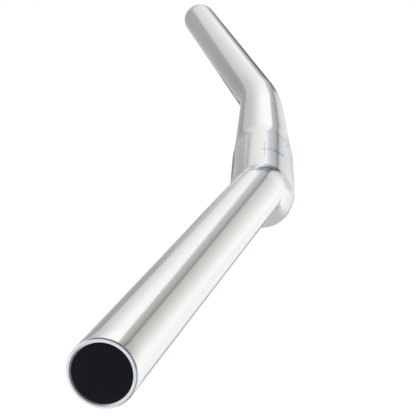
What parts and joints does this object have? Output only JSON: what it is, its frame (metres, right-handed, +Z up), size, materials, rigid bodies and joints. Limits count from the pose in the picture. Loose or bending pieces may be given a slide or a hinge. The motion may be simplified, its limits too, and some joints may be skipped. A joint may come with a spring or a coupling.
{
  "type": "riser handlebar",
  "caption": "Bicycle riser handlebar: a thick middle for the stem, tapered and bent up to swept-back grips with open ends.",
  "frame": {"origin": "middle of the stem clamp, on the tube's centreline", "axes": "+X along the width to the rider's right, +Y forwards so that the grips sweep back towards -Y, +Z up"},
  "size_m": [0.7038, 0.071, 0.0573],
  "materials": {
    "polished_alloy": "mirror polished aluminium tube with fine etched graduations at the clamp"
  },
  "bodies": {
    "root": {"handlebar": "polished_alloy"}
  },
  "joints": []
}
